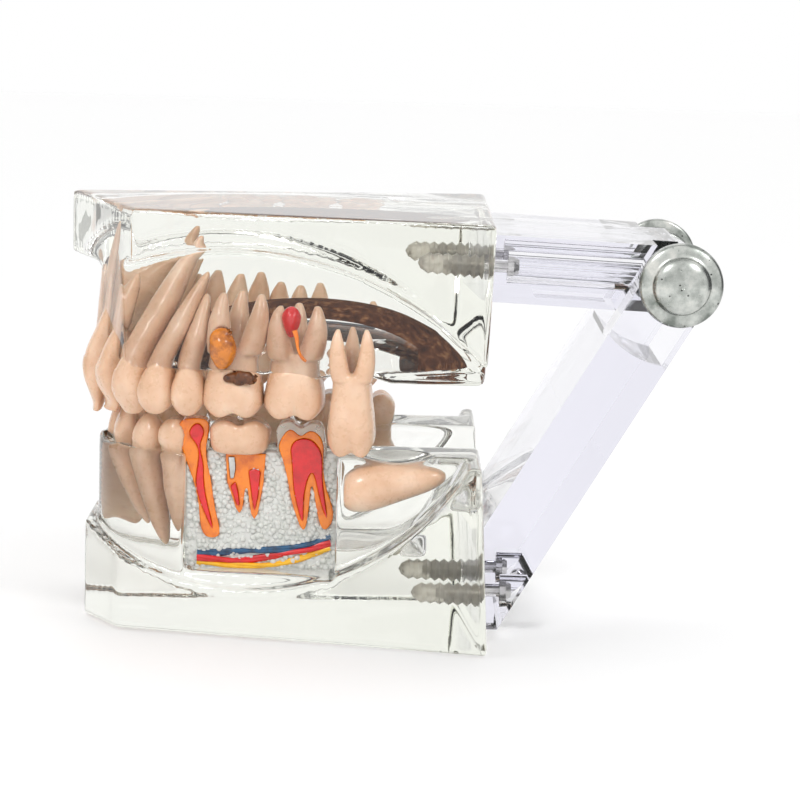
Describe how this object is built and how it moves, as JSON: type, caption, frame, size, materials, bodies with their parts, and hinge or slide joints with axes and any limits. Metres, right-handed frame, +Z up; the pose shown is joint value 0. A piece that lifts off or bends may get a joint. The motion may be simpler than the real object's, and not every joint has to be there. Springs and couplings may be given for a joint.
{
  "type": "typodont model",
  "caption": "Clear resin dental pathology model: hinged upper and lower jaws with embedded teeth on an acrylic two-arm hinge.",
  "frame": {"origin": "centre of the model's footprint, at the lower jaw's flat bottom", "axes": "+X from the front teeth to the hinge rod, +Y to the patient's right, +Z up"},
  "size_m": [0.115, 0.0692, 0.0735],
  "materials": {
    "clear_resin": "polished cast resin, clear",
    "clear_acrylic": "polished acrylic, clear",
    "steel": "plain",
    "zinc": "bright zinc with fine pits",
    "screw_steel": "bright",
    "anchor_plastic": "translucent grey-tan",
    "implant_metal": "satin, threaded",
    "red_paint": "glossy",
    "orange_paint": "glossy",
    "brown_paint": "rough",
    "yellow_paint": "glossy",
    "blue_paint": "glossy",
    "bone_granules": "pearly granules",
    "clear_enamel": "thin glossy shell",
    "tooth": "semi-gloss peach resin"
  },
  "bodies": {
    "lower_jaw": {"cancellous_bone": "bone_granules", "hinge_rod": "steel", "implant_crown": "tooth", "implant_fixture": "implant_metal", "left_rod_cap": "zinc", "lower_arm": "clear_acrylic", "lower_base": "clear_resin", "lower_left_canine": "tooth", "lower_left_first_molar_canals": "red_paint", "lower_left_first_molar_crown": "tooth", "lower_left_first_molar_dentine": "orange_paint", "lower_left_first_molar_post": "implant_metal", "lower_left_first_premolar": "tooth", "lower_left_lateral_incisor": "tooth", "lower_left_screw": "screw_steel", "lower_left_second_molar_dentine": "orange_paint", "lower_left_second_molar_enamel": "clear_enamel", "lower_left_second_molar_pulp": "red_paint", "lower_left_second_premolar_dentine": "orange_paint", "lower_left_second_premolar_pulp": "red_paint", "lower_left_third_molar": "tooth", "lower_right_canine": "tooth", "lower_right_central_incisor": "tooth", "lower_right_first_molar": "tooth", "lower_right_first_premolar": "tooth", "lower_right_lateral_incisor": "tooth", "lower_right_screw": "screw_steel", "lower_right_second_molar": "tooth", "lower_right_second_premolar": "tooth", "lower_right_third_molar": "tooth", "lower_screw_anchors": "anchor_plastic", "mandibular_artery": "red_paint", "mandibular_nerve": "yellow_paint", "mandibular_vein": "blue_paint", "right_rod_cap": "zinc"},
    "upper_jaw": {"palate_lining": "brown_paint", "upper_abscess": "red_paint", "upper_arm": "clear_acrylic", "upper_base": "clear_resin", "upper_cyst": "orange_paint", "upper_left_canine": "tooth", "upper_left_central_incisor": "tooth", "upper_left_first_molar": "tooth", "upper_left_first_premolar": "tooth", "upper_left_lateral_incisor": "tooth", "upper_left_screw": "screw_steel", "upper_left_second_molar": "tooth", "upper_left_second_premolar": "tooth", "upper_left_third_molar": "tooth", "upper_molar_caries": "brown_paint", "upper_right_canine": "tooth", "upper_right_central_incisor": "tooth", "upper_right_first_molar": "tooth", "upper_right_first_premolar": "tooth", "upper_right_lateral_incisor": "tooth", "upper_right_screw": "screw_steel", "upper_right_second_molar": "tooth", "upper_right_second_premolar": "tooth", "upper_right_third_molar": "tooth", "upper_screw_anchors": "anchor_plastic"}
  },
  "joints": [
    {"name": "jaw_hinge", "type": "hinge", "parent": "lower_jaw", "child": "upper_jaw", "pos_m": [0.0503, 0, 0.0632], "axis": [0, 1, 0], "range_deg": [0, 110]}
  ]
}
